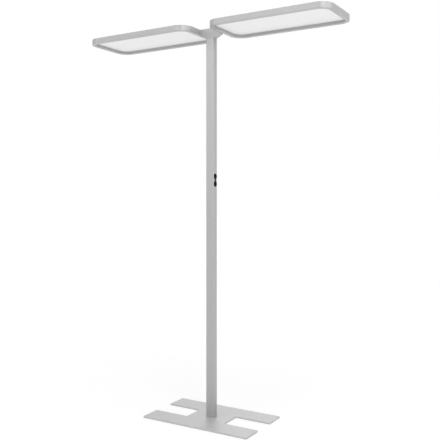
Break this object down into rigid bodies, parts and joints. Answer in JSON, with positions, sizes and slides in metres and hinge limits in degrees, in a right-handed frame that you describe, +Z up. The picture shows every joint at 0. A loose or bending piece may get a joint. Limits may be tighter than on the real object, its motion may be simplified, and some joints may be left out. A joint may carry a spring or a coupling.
{
  "type": "floor lamp",
  "caption": "Twin-head office floor lamp: two flat rounded light heads on a slim rectangular post over an H-shaped plate, with two push buttons in the post.",
  "frame": {"origin": "on the floor under the axis of the post, which is the middle of the bounding box's bottom", "axes": "+Z up along the post, +X along the heads towards the right head, on whose side the buttons are, -Y to the front and +Y to the back, where the cord inlet is"},
  "size_m": [1.37, 0.35, 1.95],
  "materials": {
    "silver_paint": "fine satin silver-grey powder coat",
    "plate_paint": "fine-textured silver-grey powder coat",
    "anodised": "satin anodised extrusion with faint length-wise grain",
    "bare_aluminium": "mill finish",
    "zinc_steel": "bright zinc plating",
    "opal": "satin opal acrylic with a fine prism texture",
    "clear_acrylic": "clear acrylic",
    "white_film": "matte white film",
    "white_housing": "plain white moulding",
    "board": "white solder mask with pale yellow emitters",
    "control_board": "green solder mask",
    "black_plastic": "fine matte black moulding",
    "grey_plastic": "dark grey moulding",
    "foam": "dark grey closed-cell foam",
    "cable_white": "smooth cable sheath"
  },
  "bodies": {
    "root": {"base_plate": "plate_paint", "base_glides": "grey_plastic", "base_screws": "zinc_steel", "foot_block": "bare_aluminium", "foot_screws": "zinc_steel", "post": "anodised", "cord_gland": "grey_plastic", "gland_nut": "grey_plastic", "terminal_block": "white_housing", "mains_leads": "cable_white", "driver_lower": "white_housing", "driver_upper": "white_housing", "control_leads": "grey_plastic", "control_bezel": "black_plastic", "switch_carrier": "grey_plastic", "switch_board": "control_board", "switch_bodies": "grey_plastic", "bridge": "silver_paint", "bridge_lid": "silver_paint", "lid_screws": "zinc_steel", "spigot_screws": "zinc_steel", "head_cables": "cable_white", "head_frame_left": "silver_paint", "head_frame_right": "silver_paint", "diffuser_left": "opal", "diffuser_right": "opal", "light_guide_left": "clear_acrylic", "light_guide_right": "clear_acrylic", "reflector_left": "white_film", "reflector_right": "white_film", "led_strips_left": "board", "led_strips_right": "board", "back_plate_left": "bare_aluminium", "back_plate_right": "bare_aluminium", "foam_strips_left": "foam", "foam_strips_right": "foam", "uplight_boards_left": "board", "uplight_boards_right": "board", "top_cover_left": "silver_paint", "top_cover_right": "silver_paint", "uplight_windows_left": "clear_acrylic", "uplight_windows_right": "clear_acrylic", "cover_screws_left": "zinc_steel", "cover_screws_right": "zinc_steel", "mount_plate_left": "zinc_steel", "mount_plate_right": "zinc_steel", "head_screws_left": "zinc_steel", "head_screws_right": "zinc_steel", "head_connector_left": "white_housing", "head_connector_right": "white_housing"},
    "upper_button": {"button_upper": "black_plastic", "plunger_upper": "white_housing"},
    "lower_button": {"button_lower": "black_plastic", "plunger_lower": "white_housing"}
  },
  "joints": [
    {"name": "upper_button_press", "type": "slide", "parent": "root", "child": "upper_button", "axis": [-1, 0, 0], "range_m": [0, 0.0012], "stiffness_N_per_m": 1500, "springref_m": -0.0005},
    {"name": "lower_button_press", "type": "slide", "parent": "root", "child": "lower_button", "axis": [-1, 0, 0], "range_m": [0, 0.0012], "stiffness_N_per_m": 1500, "springref_m": -0.0005}
  ]
}
